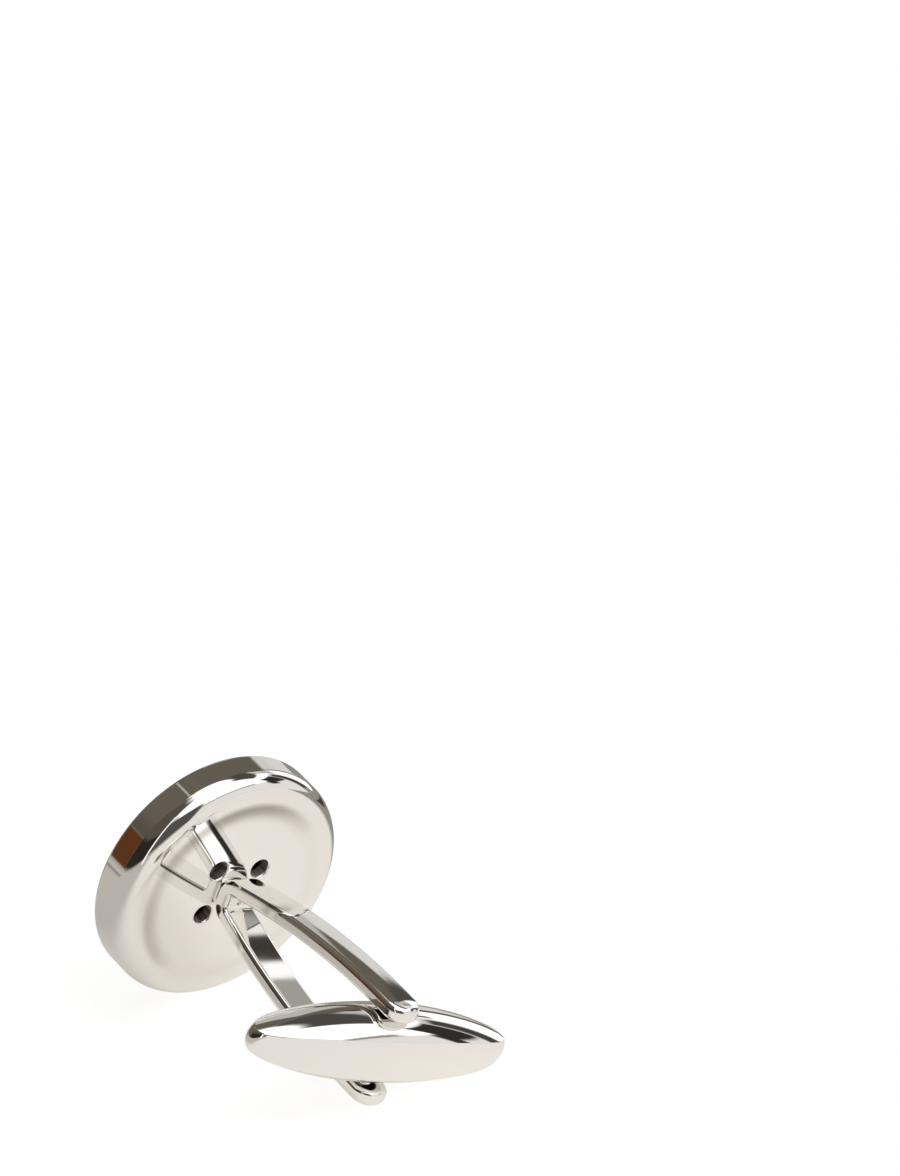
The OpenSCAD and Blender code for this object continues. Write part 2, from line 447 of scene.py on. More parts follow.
# %% [markdown]
# ## Drilled walls
#
# The vents are drilled after the cup is pressed, and no wheel reaches inside them. Polish
# there would mirror the hollow and read as a gap. So their walls have a material of their
# own: dull brown bare metal, with marks that are drawn out along the hole by a noise that
# is stretched along the axis.

# %% The material of a drilled wall
BARE_DARK, BARE_LIGHT = (0.16, 0.115, 0.08), (0.62, 0.52, 0.43)
MARKS_PER_M = (2600, 2600, 500)
MARK_DETAIL, MARK_LOW, MARK_HIGH = 3, 0.35, 0.65
MARK_DEPTH = 0.01 * MM


def drilled_wall():
    """Dull brown metal with marks drawn out along the hole."""
    material, tree, shader = new_metal("Drilled wall", metallic=0.35)
    shader.inputs["Roughness"].default_value = 0.5
    where = on_vectors(tree, "MULTIPLY", own_places(tree), MARKS_PER_M)
    marks = noise(tree, where, 1, MARK_DETAIL)
    tint = ramp(tree, marks, MARK_LOW, MARK_HIGH)
    feed(tree, shader.inputs["Base Color"], blended(tree, tint, BARE_DARK, BARE_LIGHT))
    tilt(tree, shader, marks, MARK_DEPTH)
    return material


drilled = drilled_wall()
print("drilled wall nodes:", len(drilled.node_tree.nodes))

# %% [markdown]
# ## The head
#
# The real cup is pressed from sheet: a straight side wall, a rounded shoulder and a flat
# back, with four vent holes that were drilled and then lost their sharp lips in the
# buffing. Most of it is a profile turned round an axis. The back isn't, because of the
# holes, so it is a flat sheet cut out between circles. It is all in one plane, so however
# the triangles lie, the mirror stays flat.

# %% Sizes of the head
rim_w = 0.6 * MM
rim_edge_r = 0.25 * MM
shoulder_r = 1.3 * MM
wall_t = 1.1 * MM
back_t = 0.8 * MM
vent_r = 0.625 * MM
vent_ring_r = 2.25 * MM
vent_lip_r = 0.16 * MM
rivet_hole_r = 0.32 * MM
groove_r = 0.06 * MM
AROUND = 320
VENT_AROUND = 64

pocket_r = head_r - rim_w
inner_r = head_r - wall_t
inner_back_z = back_z - back_t
flat_r = head_r - shoulder_r
vent_places = [
    (vent_ring_r * math.cos(a), vent_ring_r * math.sin(a))
    for a in (math.radians(45 + 90 * k) for k in range(4))
]
print("flat back radius in mm:", round(flat_r / MM, 2), "vents:", len(vent_places))

# %% Patches turned round an axis


def turned(skin, profile, count, centre=(0, 0), around=AROUND):
    """Turns profile(t) -> (radius, z) round a vertical axis, in count stretches of t."""

    def formula(t, a):
        r, z = profile(t)
        return np.stack([centre[0] + r * np.cos(a), centre[1] + r * np.sin(a), z], axis=2)

    skin.patch(formula, steps(0, 1, count), steps(0, 2 * math.pi, around))


def straight(r0, z0, r1, z1):
    """A straight stretch of profile, for t from 0 to 1."""
    return lambda t: (r0 + (r1 - r0) * t, z0 + (z1 - z0) * t)


def arc(r, z, size, start, end):
    """A round stretch of profile about (r, z), from one angle in degrees to another."""
    a, b = math.radians(start), math.radians(end)
    return lambda t: (
        r + size * np.cos(a + (b - a) * t),
        z + size * np.sin(a + (b - a) * t),
    )


print("profiles are turned in", AROUND, "steps")

# %% A flat sheet with round holes
JUST_INSIDE = 0.999
JUST_OUTSIDE = 1.01
SAME_PLACE = 1e-9


def sheet_with_holes(skin, outer_r, holes, z):
    """A flat sheet at height z between a circle and round holes (x, y, r, count)."""
    places, edges = [], []
    for x, y, r, count in [(0, 0, outer_r, AROUND), *holes]:
        start = len(places)
        for k in range(count):
            a = 2 * math.pi * k / count
            places.append(Vector((x + r * math.cos(a), y + r * math.sin(a))))
            edges.append((start + k, start + (k + 1) % count))
    flat, _, faces, _, _, _ = delaunay_2d_cdt(places, edges, [], 0, SAME_PLACE)
    points = [(p.x, p.y, z) for p in flat]
    kept = []
    for face in faces:
        middle = sum((flat[i] for i in face), Vector((0, 0))) / len(face)
        in_hole = any(
            math.hypot(middle.x - x, middle.y - y) < r * JUST_INSIDE for x, y, r, _ in holes
        )
        if not in_hole and middle.length < outer_r:
            kept.append(tuple(face))
    skin.add(points, [(0, 0, 1)] * len(points), kept)


def back_holes(vent_hole_r):
    """The four vents and the rivet's hole in the back."""
    vents = [(x, y, vent_hole_r, VENT_AROUND) for x, y in vent_places]
    return [*vents, (0, 0, rivet_hole_r, VENT_AROUND)]


print("holes in the back:", len(back_holes(vent_r)))

# %% The cup
cup = Skin()
shoulder_z = back_z - shoulder_r
rim_inner_r = pocket_r + groove_r
rim_outer_r = head_r - rim_edge_r
turned(cup, straight(pocket_r, groove_r, pocket_r, plate_t), 1)
turned(cup, arc(rim_inner_r, groove_r, groove_r, 270, 180), 6)
turned(cup, straight(rim_inner_r, 0, rim_outer_r, 0), 2)
turned(cup, arc(rim_outer_r, rim_edge_r, rim_edge_r, -90, 0), 10)
turned(cup, straight(head_r, rim_edge_r, head_r, shoulder_z), 8)
turned(cup, arc(flat_r, shoulder_z, shoulder_r, 0, 90), 44)

lip_top_r = vent_r + vent_lip_r
lip_z = back_z - vent_lip_r
sheet_with_holes(cup, flat_r, back_holes(lip_top_r), back_z)
for place in vent_places:
    turned(cup, arc(lip_top_r, lip_z, vent_lip_r, 90, 180), 10, place, VENT_AROUND)
    turned(cup, straight(vent_r, lip_z, vent_r, inner_back_z), 2, place, VENT_AROUND)
rivet_hole = straight(rivet_hole_r, back_z, rivet_hole_r, inner_back_z)
turned(cup, rivet_hole, 1, around=VENT_AROUND)
sheet_with_holes(cup, inner_r, back_holes(vent_r), inner_back_z)
turned(cup, straight(inner_r, inner_back_z, inner_r, plate_t), 2)
turned(cup, straight(inner_r, plate_t, pocket_r, plate_t), 1)
head_piece = cup.build("head_cup_polished", head_polish, "head", "polished_plate", "head_cup")

# %% The vents' walls get their own material
head_piece.data.materials.append(drilled)
for polygon in head_piece.data.polygons:
    middle = polygon.center
    in_vent = any(
        math.hypot(middle.x - x, middle.y - y) < vent_r * JUST_OUTSIDE for x, y in vent_places
    )
    polygon.material_index = int(in_vent and middle.z < back_z)
print("drilled faces:", sum(p.material_index for p in head_piece.data.polygons))

# %% [markdown]
# ## The strap fork
#
# The real stem is one flat strap, bent into a narrow fork. Buffing has rounded its edges,
# crowned its outer face a little and turned its ends into soft fingertips. It could be a curve
# with a bevel shape, but its round ends would then need their own pieces. Here the strap
# is thought of lying flat, as a plate with a stadium outline. Each ring of points lies a
# given distance in from the outline, and how thick the plate is there gives the rounded
# edge and the crown. The finished plate is then bent along the fork's line.

# %% The line that the strap follows
strap_t = 1.1 * MM
foot_len = 0.26 * MM
foot_bend_r = 0.8 * MM
curve_h = pin_z - back_z

strap_half = strap_t / 2
end_r = strap_w / 2
arm_y = arm_outer_y - strap_half
end_h = strap_top_z - back_z - end_r
bend_z = strap_half + foot_bend_r
bend_y = foot_len
bend_drop = curve_h - bend_z
bend_out = arm_y - bend_y
curve_r = (bend_drop**2 + bend_out**2 - foot_bend_r**2) / (2 * (bend_out - foot_bend_r))
curve_y = arm_y - curve_r
lean = math.asin(bend_drop / (curve_r - foot_bend_r))

bend_len = foot_bend_r * (math.pi / 2 - lean)
curve_len = curve_r * lean
straight_len = end_h - curve_h
half_len = foot_len + bend_len + curve_len + straight_len


def strap_line(s):
    """Point and outward side of the strap's middle line at a distance s from the foot."""
    side = np.where(s < 0, -1.0, 1.0)
    d = np.abs(s)
    on_bend = np.clip(d - foot_len, 0, bend_len) / foot_bend_r
    on_curve = np.clip(d - foot_len - bend_len, 0, curve_len) / curve_r
    past = np.maximum(d - foot_len - bend_len - curve_len, 0)
    angle = -math.pi / 2 + on_bend + on_curve
    y = np.where(d < foot_len, d, 0)
    z = np.zeros_like(d)
    bending = (d >= foot_len) & (d < foot_len + bend_len)
    y = np.where(bending, bend_y + foot_bend_r * np.cos(angle), y)
    z = np.where(bending, bend_z + foot_bend_r * np.sin(angle), z)
    curving = d >= foot_len + bend_len
    y = np.where(curving, curve_y + curve_r * np.cos(angle), y)
    z = np.where(curving, curve_h + curve_r * np.sin(angle) + past, z)
    z = np.where(d < foot_len, strap_half, z)
    return side * y, z, side * np.cos(angle), np.sin(angle)


print("strap length in mm:", round(2 * (half_len + end_r) / MM, 2))

# %% The plate and its bending
EDGE_R = {1: 0.34 * MM, -1: 0.32 * MM}
CROWN = {1: 0.16 * MM, -1: 0.0}
ALMOST = 1 - 1e-6

curve_start = foot_len + bend_len


def face_height(side, inset, along):
    """Height of the outer (1) or inner (-1) face over the strap's middle line.

    Only the outer face is crowned, and not at the foot, which sits on the back.
    """
    edge_r = EDGE_R[side]
    near = np.clip(edge_r - inset, 0, edge_r)
    rounded = strap_half - edge_r + np.sqrt(np.maximum(edge_r**2 - near**2, 0))
    share = 1 - np.clip(inset / end_r, 0, 1)
    arm = np.clip((np.abs(along) - foot_len) / curve_start, 0, 1)
    return side * (rounded - CROWN[side] * arm**2 * (3 - 2 * arm) * share**2)


def stadium(inset, way):
    """Place along and across the flat plate: two long sides and two round ends."""
    r = end_r - inset
    side, far_end, back, near_end = (np.clip(way - k, 0, 1) for k in range(4))
    turn = math.pi * (far_end + near_end) - math.pi / 2
    along = half_len * (2 * side - 2 * back - 1)
    capped = np.where(way < 3, np.sin(math.pi * far_end), -np.sin(math.pi * near_end))
    return along + r * capped, r * np.sin(turn)


def bent(along, across, height):
    """Bends a point of the flat plate onto the fork's line."""
    y, z, out_y, out_z = strap_line(along)
    return np.stack([across, y + out_y * height, back_z + z + out_z * height], axis=2)


def strap_face(side):
    """One face of the bent plate, by how far in from the outline and the way round."""

    def formula(share, way):
        inset = end_r * share
        along, across = stadium(inset, way)
        return bent(along, across, face_height(side, inset, along))

    return formula


def strap_wall(height, way):
    """The strap's narrow side, between its two rounded edges."""
    along, across = stadium(0 * way, way)
    inner, outer = (face_height(side, 0 * way, along) for side in (-1, 1))
    return bent(along, across, inner + (outer - inner) * height)


print("edge radii in mm, outer and inner:", [round(r / MM, 2) for r in EDGE_R.values()])

# %% The fork
FOOT_STEPS, BEND_STEPS, CURVE_STEPS, STRAIGHT_STEPS, END_STEPS = 3, 28, 60, 8, 40
EDGE_STEPS, FACE_STEPS = 12, 14
stretches = (
    (foot_len, FOOT_STEPS),
    (bend_len, BEND_STEPS),
    (curve_len, CURVE_STEPS),
    (straight_len, STRAIGHT_STEPS),
)
places = np.cumsum([0] + [length / n for length, n in stretches for _ in range(n)])
side_ways = (1 + np.concatenate([-places[:0:-1], places]) / half_len) / 2
ways = np.concatenate(
    [
        side_ways[:-1],
        steps(1, 2, END_STEPS)[:-1],
        2 + side_ways[:-1],
        steps(3, 4, END_STEPS),
    ]
)
fork = Skin()
for side, edge_r in EDGE_R.items():
    edge_share = edge_r / end_r
    edge_insets = edge_share * (1 - np.cos(steps(0, math.pi / 2, EDGE_STEPS)))
    insets = np.concatenate([edge_insets[:-1], steps(edge_share, ALMOST, FACE_STEPS)])
    fork.patch(strap_face(side), insets, ways)
fork.patch(strap_wall, steps(0, 1, 2), ways)
fork.build("stem_fork_polished", stem_polish, "head", "polished_plate", "stem_fork")

# %% [markdown]
# ## The rivet in the crotch
#
# A small rivet holds the strap to the back. Its domed head sits between the arms, where
# only a glint of it shows. It is a turned profile, like the cup.

# %% The rivet's head and shank
RIVET_AROUND = 64
DOME_STEPS = 14
rivet_low, rivet_high = span("stem_rivet")
rivet_head_r = rivet_high[0]
rivet_head_h = 0.3 * MM
rivet_shank_r = 0.3 * MM
rivet_seat_z = rivet_high[2] - rivet_head_h
rivet_tail_z = rivet_low[2] + rivet_head_h
dome_r = (rivet_head_r**2 + rivet_head_h**2) / (2 * rivet_head_h)
dome_edge = math.degrees(math.asin((dome_r - rivet_head_h) / dome_r))

rivet = Skin()
for profile, count in (
    (arc(0, rivet_high[2] - dome_r, dome_r, 90, dome_edge), DOME_STEPS),
    (straight(rivet_head_r, rivet_seat_z, rivet_shank_r, rivet_seat_z), 1),
    (straight(rivet_shank_r, rivet_seat_z, rivet_shank_r, rivet_tail_z), 2),
    (straight(rivet_shank_r, rivet_tail_z, rivet_head_r, rivet_tail_z), 1),
    (arc(0, rivet_low[2] + dome_r, dome_r, -dome_edge, -90), DOME_STEPS),
):
    turned(rivet, profile, count, around=RIVET_AROUND)
rivet.build("stem_rivet_polished", stem_polish, "head", "polished_plate", "stem_rivet")

# %% [markdown]
# ## The bar
#
# Seen along its pin the bar is a pointed oval, and seen along the stem it is one too, but
# slimmer. A smooth band runs round its outline, and its two sides bulge between the
# band's edges. It could be a cube shaped with a subdivision surface, but the reflections
# then wander, because such a surface only comes near its curves. Here the band, the
# sides and the small round edge between them are formulas, so a long reflection runs as
# clean as on the real one.

# %% The bar's outline and its bulging sides
bar_half = 9.0 * MM
depth_half = 2.1 * MM
width_half = 2.4 * MM
band_half = 1.35 * MM
tip_half = 0.75 * MM
tip_round_r = 1.15 * MM
bore_r = 0.7 * MM
bar_turn = math.radians(9.1)
bar_edge_r = 0.1 * MM
FULLNESS = 0.85
TIP_ROOT = 0.42
TIP_REACH = 6
middle_blend = 0.04

side_rise = width_half - band_half
side_r = (depth_half**2 + side_rise**2) / (2 * side_rise)
tip_drop = width_half - tip_half
sweep_r = (bar_half**2 + tip_drop**2) / (2 * tip_drop)


def swell(x):
    """How full the bar is at a distance along it: 1 in the middle and 0 at its tips."""
    share = np.clip(x / bar_half, -1, 1) ** 2
    low, high = middle_blend**FULLNESS, (1 + middle_blend) ** FULLNESS
    gone = ((share + middle_blend) ** FULLNESS - low) / (high - low)
    return np.maximum(1 - gone, 0) ** TIP_ROOT


def outline(turn):
    """A point of the bar's outline, seen along the pin."""
    x = bar_half * np.cos(turn)
    return x, depth_half * swell(x) * np.sign(np.sin(turn))


def side_y(x, z):
    """How far out the bulging side lies at a point of the bar."""
    dip = sweep_r - side_r + np.sqrt(side_r**2 - z**2)
    return width_half - sweep_r + np.sqrt(dip**2 - x**2)


def on_pin(x, y, z):
    """Rounds the bar's tips, and puts a point of it on the pin, turned as the bar lies."""
    short = tip_round_r - np.sqrt(tip_round_r**2 - np.minimum(np.abs(y), tip_half) ** 2)
    x = x * (1 - short / bar_half * (x / bar_half) ** TIP_REACH)
    c, s = math.cos(bar_turn), math.sin(bar_turn)
    return np.stack([x * c - z * s, y, pin_z + x * s + z * c], axis=-1)


print("bar side radii in mm:", round(side_r / MM, 2), round(sweep_r / MM, 2))

# %% The small round edge between the band and a side
SLIVER = 1e-5


def rounded_edge(turn):
    """Centre of the edge's rounding, and the band's and the side's normals there."""
    x, z = outline(turn)
    last_x, last_z = outline(turn - SLIVER)
    next_x, next_z = outline(turn + SLIVER)
    zero = 0 * x
    band = unit(np.stack([next_z - last_z, zero, last_x - next_x], axis=-1))
    step = SLIVER * bar_half
    slope_x = (side_y(x + step, z) - side_y(x - step, z)) / (2 * step)
    slope_z = (side_y(x, z + step) - side_y(x, z - step)) / (2 * step)
    side = unit(np.stack([-slope_x, zero + 1, -slope_z], axis=-1))
    meet = 1 + np.sum(band * side, axis=-1, keepdims=True)
    edge = np.stack([x, side_y(x, z), z], axis=-1)
    return edge - bar_edge_r * (band + side) / meet, band, side


def side_edge(turn):
    """Where the rounding ends on the side."""
    centre, _, side = rounded_edge(turn)
    place = centre + bar_edge_r * side
    place[..., 1] = side_y(place[..., 0], place[..., 2])
    return place


def band_edge(turn):
    """Where the rounding ends on the band."""
    centre, band, _ = rounded_edge(turn)
    return centre + bar_edge_r * band


def edge_patch(way):
    """The rounding itself, on the side that way gives: 1 or -1 along the pin."""

    def formula(share, turn):
        centre, band, side = rounded_edge(turn)
        share = share[..., None]
        angle = np.arccos(np.clip(np.sum(band * side, axis=-1, keepdims=True), -1, 1))
        from_band = np.sin((1 - share) * angle) / np.sin(angle)
        from_side = np.sin(share * angle) / np.sin(angle)
        place = centre + bar_edge_r * (from_band * band + from_side * side)
        place += share * (side_edge(turn) - centre - bar_edge_r * side)
        return on_pin(place[..., 0], way * place[..., 1], place[..., 2])

    return formula


print("bar edge radius in mm:", bar_edge_r / MM)

# %% The bar's patches


def band_patch(share, turn):
    """The band, from one side to the other."""
    place = band_edge(turn)
    return on_pin(place[..., 0], share * place[..., 1], place[..., 2])


def side_patch(way):
    """A bulging side, from the bore out to the rounded edge."""

    def formula(share, turn):
        rim = side_edge(turn)
        x = (1 - share) * bore_r * np.cos(turn) + share * rim[..., 0]
        z = (1 - share) * bore_r * np.sin(turn) + share * rim[..., 2]
        return on_pin(x, way * side_y(x, z), z)

    return formula


def bore_patch(share, turn):
    """The bore that the pin runs through."""
    x, z = bore_r * np.cos(turn), bore_r * np.sin(turn)
    return on_pin(x, share * side_y(x, z), z)


print("bore radius in mm:", round(bore_r / MM, 2))

# %% The bar
BAR_AROUND = 360
BAND_STEPS, BORE_STEPS, CORNER_STEPS, SIDE_STEPS = 10, 2, 6, 44
turns = steps(0, 2 * math.pi, BAR_AROUND)
bar = Skin()
bar.patch(band_patch, steps(-1, 1, BAND_STEPS), turns)
bar.patch(bore_patch, steps(-1, 1, BORE_STEPS), turns)
for way in (1, -1):
    bar.patch(edge_patch(way), steps(0, 1, CORNER_STEPS), turns)
    bar.patch(side_patch(way), steps(0, 1, SIDE_STEPS), turns)
bar_nodes = ("toggle_body", "toggle_cover")
bar.build("toggle_body_polished", bar_polish, "toggle", "polished_plate", *bar_nodes)

# %% [markdown]
# ## The face and the hidden pieces
#
# The front isn't in the picture. Such links have a plain plate there, finished on a wheel,
# so its scratches are circles. The frame's own disc is exact, so only its finish is made:
# lines that run round the axis come from a noise that reads the distance from it. The
# washer and the leaf spring are inside, and each gets the finish it has in the trade.

# %% Finishes for the frame's own pieces
GRAIN_DETAIL = 3


def metal(name, dark, light, roughness, lines, depth_mm):
    """Metal with a grain: so many lines a metre along x, y and z, or out from the axis."""
    material, tree, shader = new_metal(name)
    where = own_places(tree)
    if isinstance(lines, tuple):
        grain = noise(tree, on_vectors(tree, "MULTIPLY", where, lines), 1, GRAIN_DETAIL)
    else:
        grain = noise(tree, from_axis(tree, where), lines, GRAIN_DETAIL)
    feed(tree, shader.inputs["Base Color"], blended(tree, grain, dark, light))
    feed(tree, shader.inputs["Roughness"], ramp(tree, grain, 0, 1, *roughness))
    tilt(tree, shader, grain, depth_mm * MM)
    return material


def refinish(node, material):
    """Gives a piece of the frame its finish, and leaves its shape alone."""
    solid = bpy.data.objects[node]
    for slot in solid.material_slots:
        slot.material = material
    print(node, "now has", material.name, "in", len(solid.material_slots), "slots")


SATIN_DARK, SATIN_LIGHT = (0.66, 0.65, 0.63), (0.86, 0.85, 0.82)
BRASS_DARK, BRASS_LIGHT = (0.62, 0.47, 0.22), (0.84, 0.70, 0.40)
BLUED_DARK, BLUED_LIGHT = (0.30, 0.33, 0.38), (0.55, 0.57, 0.60)
satin = metal("Circular satin", SATIN_DARK, SATIN_LIGHT, (0.22, 0.42), 14000, 0.0015)
brass = metal("Stamped brass", BRASS_DARK, BRASS_LIGHT, (0.2, 0.4), (900, 900, 900), 0.002)
rolled = (300, 6000, 6000)
blued = metal("Blued spring steel", BLUED_DARK, BLUED_LIGHT, (0.2, 0.35), rolled, 0.001)
refinish("face_plate", satin)
refinish("rivet_washer", brass)
refinish("detent_spring", blued)

# %% [markdown]
# ## The pin
#
# No end of the real pin shows on the arms, as when it is spread and polished over with them.
# The frame's pin ends flat, and its rim would stand out of the crowned arms by a hair. It
# could be turned anew from a profile, but it has a square middle that the leaf presses on.
# So its own shape is copied, and only its two ends are set back under the polish.

# %% The pin, set back under the polish
PIN_SUNK = 0.08 * MM
AT_ITS_END = 0.01 * MM
pin_mesh = bpy.data.objects["pivot_pin"].data.copy()
for vertex in pin_mesh.vertices:
    if abs(vertex.co.y) > pin_high[1] - AT_ITS_END:
        vertex.co.y -= math.copysign(PIN_SUNK, vertex.co.y)
pin_mesh.materials.clear()
pin_mesh.materials.append(stem_polish)
pin_piece = put("pivot_pin_polished", pin_mesh)
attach(pin_piece, "head")
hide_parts("pivot_pin")
print("pin length in mm:", round(2 * (pin_high[1] - PIN_SUNK) / MM, 2))

# %% [markdown]
# ## The camera
#
# The camera stands where the picture was taken from. It could be aimed by eye, but then
# every reflection lands a little off. Its place and turn were found by setting the head's
# circles, the vents and the bar against the picture. The lens is long, as it is in most
# pictures of small things.

# %% The camera
camera_x = Vector((0.7579, 0.3307, 0.5624))
camera_up = Vector((0.0190, 0.8504, -0.5258))
camera_back = Vector((-0.6521, 0.4092, 0.6382))
camera_place = Vector((-229.4, 170.8, 235.5)) * MM
camera_data = bpy.data.cameras.new("camera")
camera_data.lens = 183.7
camera_data.sensor_width = 36
camera_data.clip_start = 0.05
camera_data.clip_end = 5
camera = put("camera", camera_data)
axes = Matrix((camera_x, camera_up, camera_back)).transposed()
camera.matrix_world = Matrix.Translation(camera_place) @ axes.to_4x4()
bpy.context.scene.camera = camera
print("lens in mm:", camera_data.lens)

# %% [markdown]
# ## A soft window
#
# The table's shades and the studio's cards further on are the same thing: one colour laid
# over another inside a rectangle with soft edges. On the table the rectangle's two numbers
# are distances, and in the studio they are angles. So one node group serves both.

# %% A node group for a soft window
HALF_TURN = 180.0
window = new_group(
    "Soft window",
    {
        "Across": 0.0,
        "Up": 0.0,
        "Middle across": 0.0,
        "Half width": 20.0,
        "Middle up": 30.0,
        "Half height": 20.0,
        "Softness": 4.0,
    },
    ("Mask",),
)


def window_nodes(tree):
    """Fills the group: how far inside the window a place is, along both numbers."""
    given, made = ends_of(tree)

    def inside(offset, half):
        room = calculate(tree, "SUBTRACT", half, calculate(tree, "ABSOLUTE", offset))
        share = calculate(tree, "DIVIDE", room, given["Softness"])
        return ramp(tree, share, -0.5, 0.5, kind=SMOOTH)

    turn = calculate(tree, "SUBTRACT", given["Across"], given["Middle across"])
    turn = calculate(tree, "WRAP", turn, HALF_TURN, -HALF_TURN)
    rise = calculate(tree, "SUBTRACT", given["Up"], given["Middle up"])
    masks = inside(turn, given["Half width"]), inside(rise, given["Half height"])
    feed(tree, made["Mask"], calculate(tree, "MULTIPLY", *masks))


window_nodes(window)
print("window sockets:", [s.name for s in window.interface.items_tree])

# %% Windows laid over one another


def lay_windows(tree, windows, across, up, colour):
    """Lays soft windows of colour over a plain colour, later ones over earlier ones."""
    for name, (left, far, low, high, soft, paint) in windows.items():
        values = {
            "Across": across,
            "Up": up,
            "Middle across": (left + far) / 2,
            "Half width": (far - left) / 2,
            "Middle up": (low + high) / 2,
            "Half height": (high - low) / 2,
            "Softness": soft,
        }
        mask = placed(tree, window, values, name)["Mask"]
        colour = blended(tree, mask, colour, paint)
    return colour


print("windows can be laid")

# %% [markdown]
# ## The table
#
# The link lies on its rim and on the end of its lower arm, so the table is tilted against
# the frame. It could be one plain colour, but a mirror shows the table in half of its
# area. So in the metal it is a light warm grey with a few darker soft places, where the
# picture's reflections are grey or nearly black. The camera sees it white, with a faint
# shadow, as in the picture.

# %% The table's plane
table_up = Vector((-0.20, 0.95, -0.24)).normalized()
solids = [bpy.data.objects[node] for node in ("head_cup", "stem_fork", "toggle_body")]
lowest = min(table_up.dot(v.co) for solid in solids for v in solid.data.vertices)
away = (-camera_back - table_up * table_up.dot(-camera_back)).normalized()
right = away.cross(table_up)
print("table lies", round(-lowest / MM, 2), "mm below the head's middle")

# %% The table's shades
TABLE_COLOUR = (0.80, 0.775, 0.74)
TABLE_GLOW = 0.45
SEEN_COLOUR = (0.3, 0.3, 0.3)
SEEN_GLOW = 0.86
WHITE = (1, 1, 1)
CM_PER_M = 100
EDGE = 70
# Places in centimetres: right from, right to, away from, away to, softness, colour.
TABLE_SHADES = {
    "shade on the left": (-EDGE, -0.8, -EDGE, EDGE, 1.6, (0.49, 0.47, 0.44)),
    "shade at the rear": (-EDGE, EDGE, 1.5, EDGE, 1.2, (0.28, 0.265, 0.25)),
    "dark thing at the rear": (3.6, 7.8, 4.0, 7.6, 1.2, (0.05, 0.045, 0.04)),
}
print("shades on the table:", len(TABLE_SHADES))

# %% The table's material


def glowing_paint(tree, colour, glow_colour, glow):
    """Matt paint that also glows by itself."""
    matt = tree.nodes.new("ShaderNodeBsdfDiffuse")
    light = tree.nodes.new("ShaderNodeEmission")
    both = tree.nodes.new("ShaderNodeAddShader")
    feed(tree, matt.inputs["Color"], colour)
    feed(tree, light.inputs["Color"], glow_colour)
    light.inputs["Strength"].default_value = glow
    tree.links.new(matt.outputs[0], both.inputs[0])
    tree.links.new(light.outputs[0], both.inputs[1])
    return both.outputs[0]


def either(tree, share, first, second):
    """The first shader where share is 0, the second where it is 1."""
    node = tree.nodes.new("ShaderNodeMixShader")
    for socket, source in zip(node.inputs, (share, first, second)):
        tree.links.new(source, socket)
    return node.outputs[0]


def table_nodes(tree):
    """White to the camera with a faint shadow, greys in the metal, clear from below."""
    tree.nodes.remove(tree.nodes["Principled BSDF"])
    shape = tree.nodes.new("ShaderNodeNewGeometry")
    place = shape.outputs["Position"]
    to_right, to_rear = (
        calculate(tree, "MULTIPLY", on_vectors(tree, "DOT_PRODUCT", place, way), CM_PER_M)
        for way in (right, away)
    )
    colour = lay_windows(tree, TABLE_SHADES, to_right, to_rear, TABLE_COLOUR)
    in_metal = glowing_paint(tree, colour, colour, TABLE_GLOW)
    seen = glowing_paint(tree, SEEN_COLOUR, WHITE, SEEN_GLOW)
    camera_ray = tree.nodes.new("ShaderNodeLightPath").outputs["Is Camera Ray"]
    above = either(tree, camera_ray, in_metal, seen)
    clear = tree.nodes.new("ShaderNodeBsdfTransparent").outputs[0]
    surface = either(tree, shape.outputs["Backfacing"], above, clear)
    tree.links.new(surface, tree.nodes["Material Output"].inputs["Surface"])


table_paint = bpy.data.materials.new("Table paint")
table_paint.use_nodes = True
table_nodes(table_paint.node_tree)
print("table nodes:", len(table_paint.node_tree.nodes))

# %% The table's mesh
TABLE_R = 0.6
TABLE_AROUND = 64
table_mesh = bpy.data.meshes.new("table")
corners = [
    table_up * lowest + right * TABLE_R * math.cos(a) + away * TABLE_R * math.sin(a)
    for a in (2 * math.pi * k / TABLE_AROUND for k in range(TABLE_AROUND))
]
table_mesh.from_pydata(corners, [], [tuple(range(TABLE_AROUND))])
table_mesh.materials.append(table_paint)
table = put("table", table_mesh)
print("table faces up:", table_mesh.polygons[0].normal.dot(table_up) > 0)

# %% [markdown]
# ## The studio that the metal shows
#
# A polished thing is lit by what it reflects. Lamps alone would give it small hot spots on
# black. A product photographer hangs large soft panels and dark cards round it instead. The
# same is done here in the world's shader. Every direction is turned into an azimuth, with
# zero straight away from the camera and 90 to its right, and an elevation over the table.
# Each card is then a soft-edged window of directions, laid over those before it.

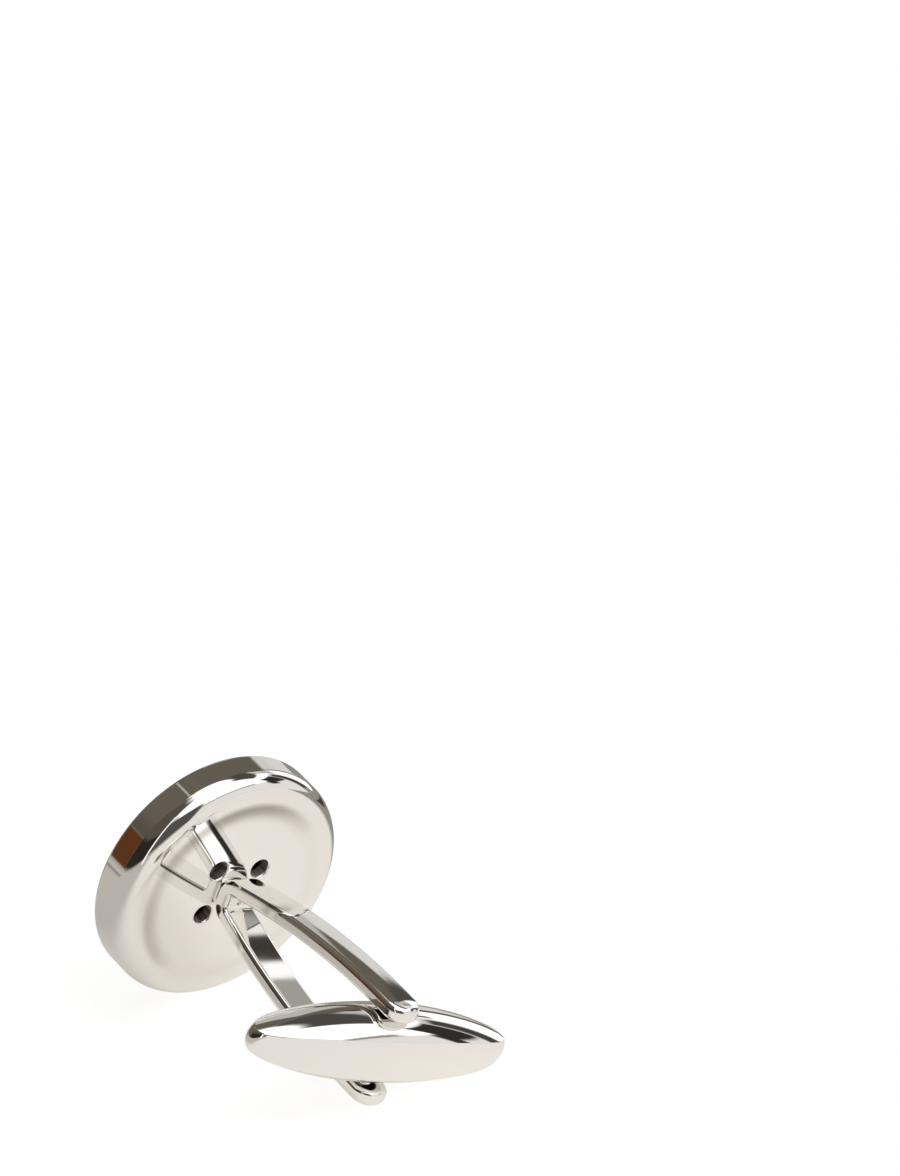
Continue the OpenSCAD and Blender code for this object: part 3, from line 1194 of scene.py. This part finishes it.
# %% The studio's cards
# name: azimuth from, azimuth to, elevation from, elevation to, softness, colour
ROUND = 190
BEYOND = 120
STUDIO_COLOUR = (0.62, 0.61, 0.59)
CARDS = {
    "horizon haze": (-ROUND, ROUND, -BEYOND, 9, 3, (0.50, 0.475, 0.44)),
    "roof": (-ROUND, ROUND, 68, BEYOND, 6, (1.4, 1.4, 1.4)),
    "left brown": (-165, -70, 24, 76, 14, (0.090, 0.078, 0.063)),
    "left dark": (-165, -91, 4, 31, 6, (0.026, 0.020, 0.015)),
    "rear haze": (8, 72, -BEYOND, 4, 4, (0.30, 0.285, 0.27)),
    "rear brown": (-86, 21, 3, 66, 5, (0.130, 0.112, 0.088)),
    "glint": (-54, -51, 40, 75, 1.5, (0.42, 0.40, 0.37)),
    "rust card": (-92, -85.5, 4, 28, 1.5, (0.105, 0.036, 0.013)),
    "rear light": (4, 17, -4, 26, 4, (0.70, 0.69, 0.67)),
    "rear dark": (12, 74, 47, 67, 6, (0.070, 0.066, 0.060)),
    "rear slot": (-14, 6.5, 20, 46, 3, (0.50, 0.49, 0.47)),
    "rear slot right": (19, 28, 33, 45, 3, (0.52, 0.51, 0.49)),
    "thin dark": (17, 22, -5, 42, 2, (0.075, 0.068, 0.060)),
    "rear window": (22, 43, -4, 31, 3, (1.25, 1.25, 1.25)),
    "rear grey": (26, 32, 30, 40, 1, (0.36, 0.35, 0.33)),
    "rear band": (32, 34.5, 30, 42, 0.7, (1.1, 1.1, 1.1)),
    "rear block": (34.5, 38.5, 30, 43, 0.7, (0.045, 0.038, 0.032)),
    "rear corner": (38.5, 47, 31, 44, 1, (0.9, 0.88, 0.85)),
    "right post": (45, 58, 4, 35, 3, (0.060, 0.055, 0.050)),
    "right wall": (60, 150, -5, 34, 5, (0.80, 0.785, 0.765)),
    "right panel edge": (82, 97, 28, 42, 3, (1.4, 1.4, 1.4)),
    "right dark": (60, 84, 22, 38, 3, (0.030, 0.028, 0.025)),
    "right dark low": (79, 88, 17, 28, 3, (0.030, 0.028, 0.025)),
    "right panel": (76, 182, 39, BEYOND, 4, (1.4, 1.4, 1.4)),
    "right panel near": (42, 80, 38, 47, 3, (1.4, 1.4, 1.4)),
    "right panel low": (92, 150, 32, 44, 3, (1.4, 1.4, 1.4)),
    "right sill": (100, 150, 27, 31, 3, (0.30, 0.285, 0.27)),
    "front dark": (147, 197, 4, 40, 6, (0.085, 0.078, 0.070)),
    "front light": (170, 196, 47, 70, 6, (1.2, 1.2, 1.2)),
    "front light line": (-165, -160, -10, 50, 2, (1.2, 1.2, 1.2)),
}

print("cards in the studio:", len(CARDS))

# %% The studio's light


def world_nodes(tree):
    """Lays the cards over one another, and gives the camera plain white."""
    where = tree.nodes.new("ShaderNodeTexCoord").outputs["Generated"]
    to_right, to_rear, to_top = (
        on_vectors(tree, "DOT_PRODUCT", where, way) for way in (right, away, table_up)
    )
    azimuth = calculate(tree, "DEGREES", calculate(tree, "ARCTAN2", to_right, to_rear))
    elevation = calculate(tree, "DEGREES", calculate(tree, "ARCSINE", to_top))
    colour = lay_windows(tree, CARDS, azimuth, elevation, STUDIO_COLOUR)
    camera_ray = tree.nodes.new("ShaderNodeLightPath").outputs["Is Camera Ray"]
    seen = blended(tree, camera_ray, colour, WHITE)
    feed(tree, tree.nodes["Background"].inputs["Color"], seen)


world = bpy.data.worlds.new("studio")
world.use_nodes = True
bpy.context.scene.world = world
world_nodes(world.node_tree)
bpy.context.scene.view_settings.view_transform = "Standard"
print("studio nodes:", len(world.node_tree.nodes))
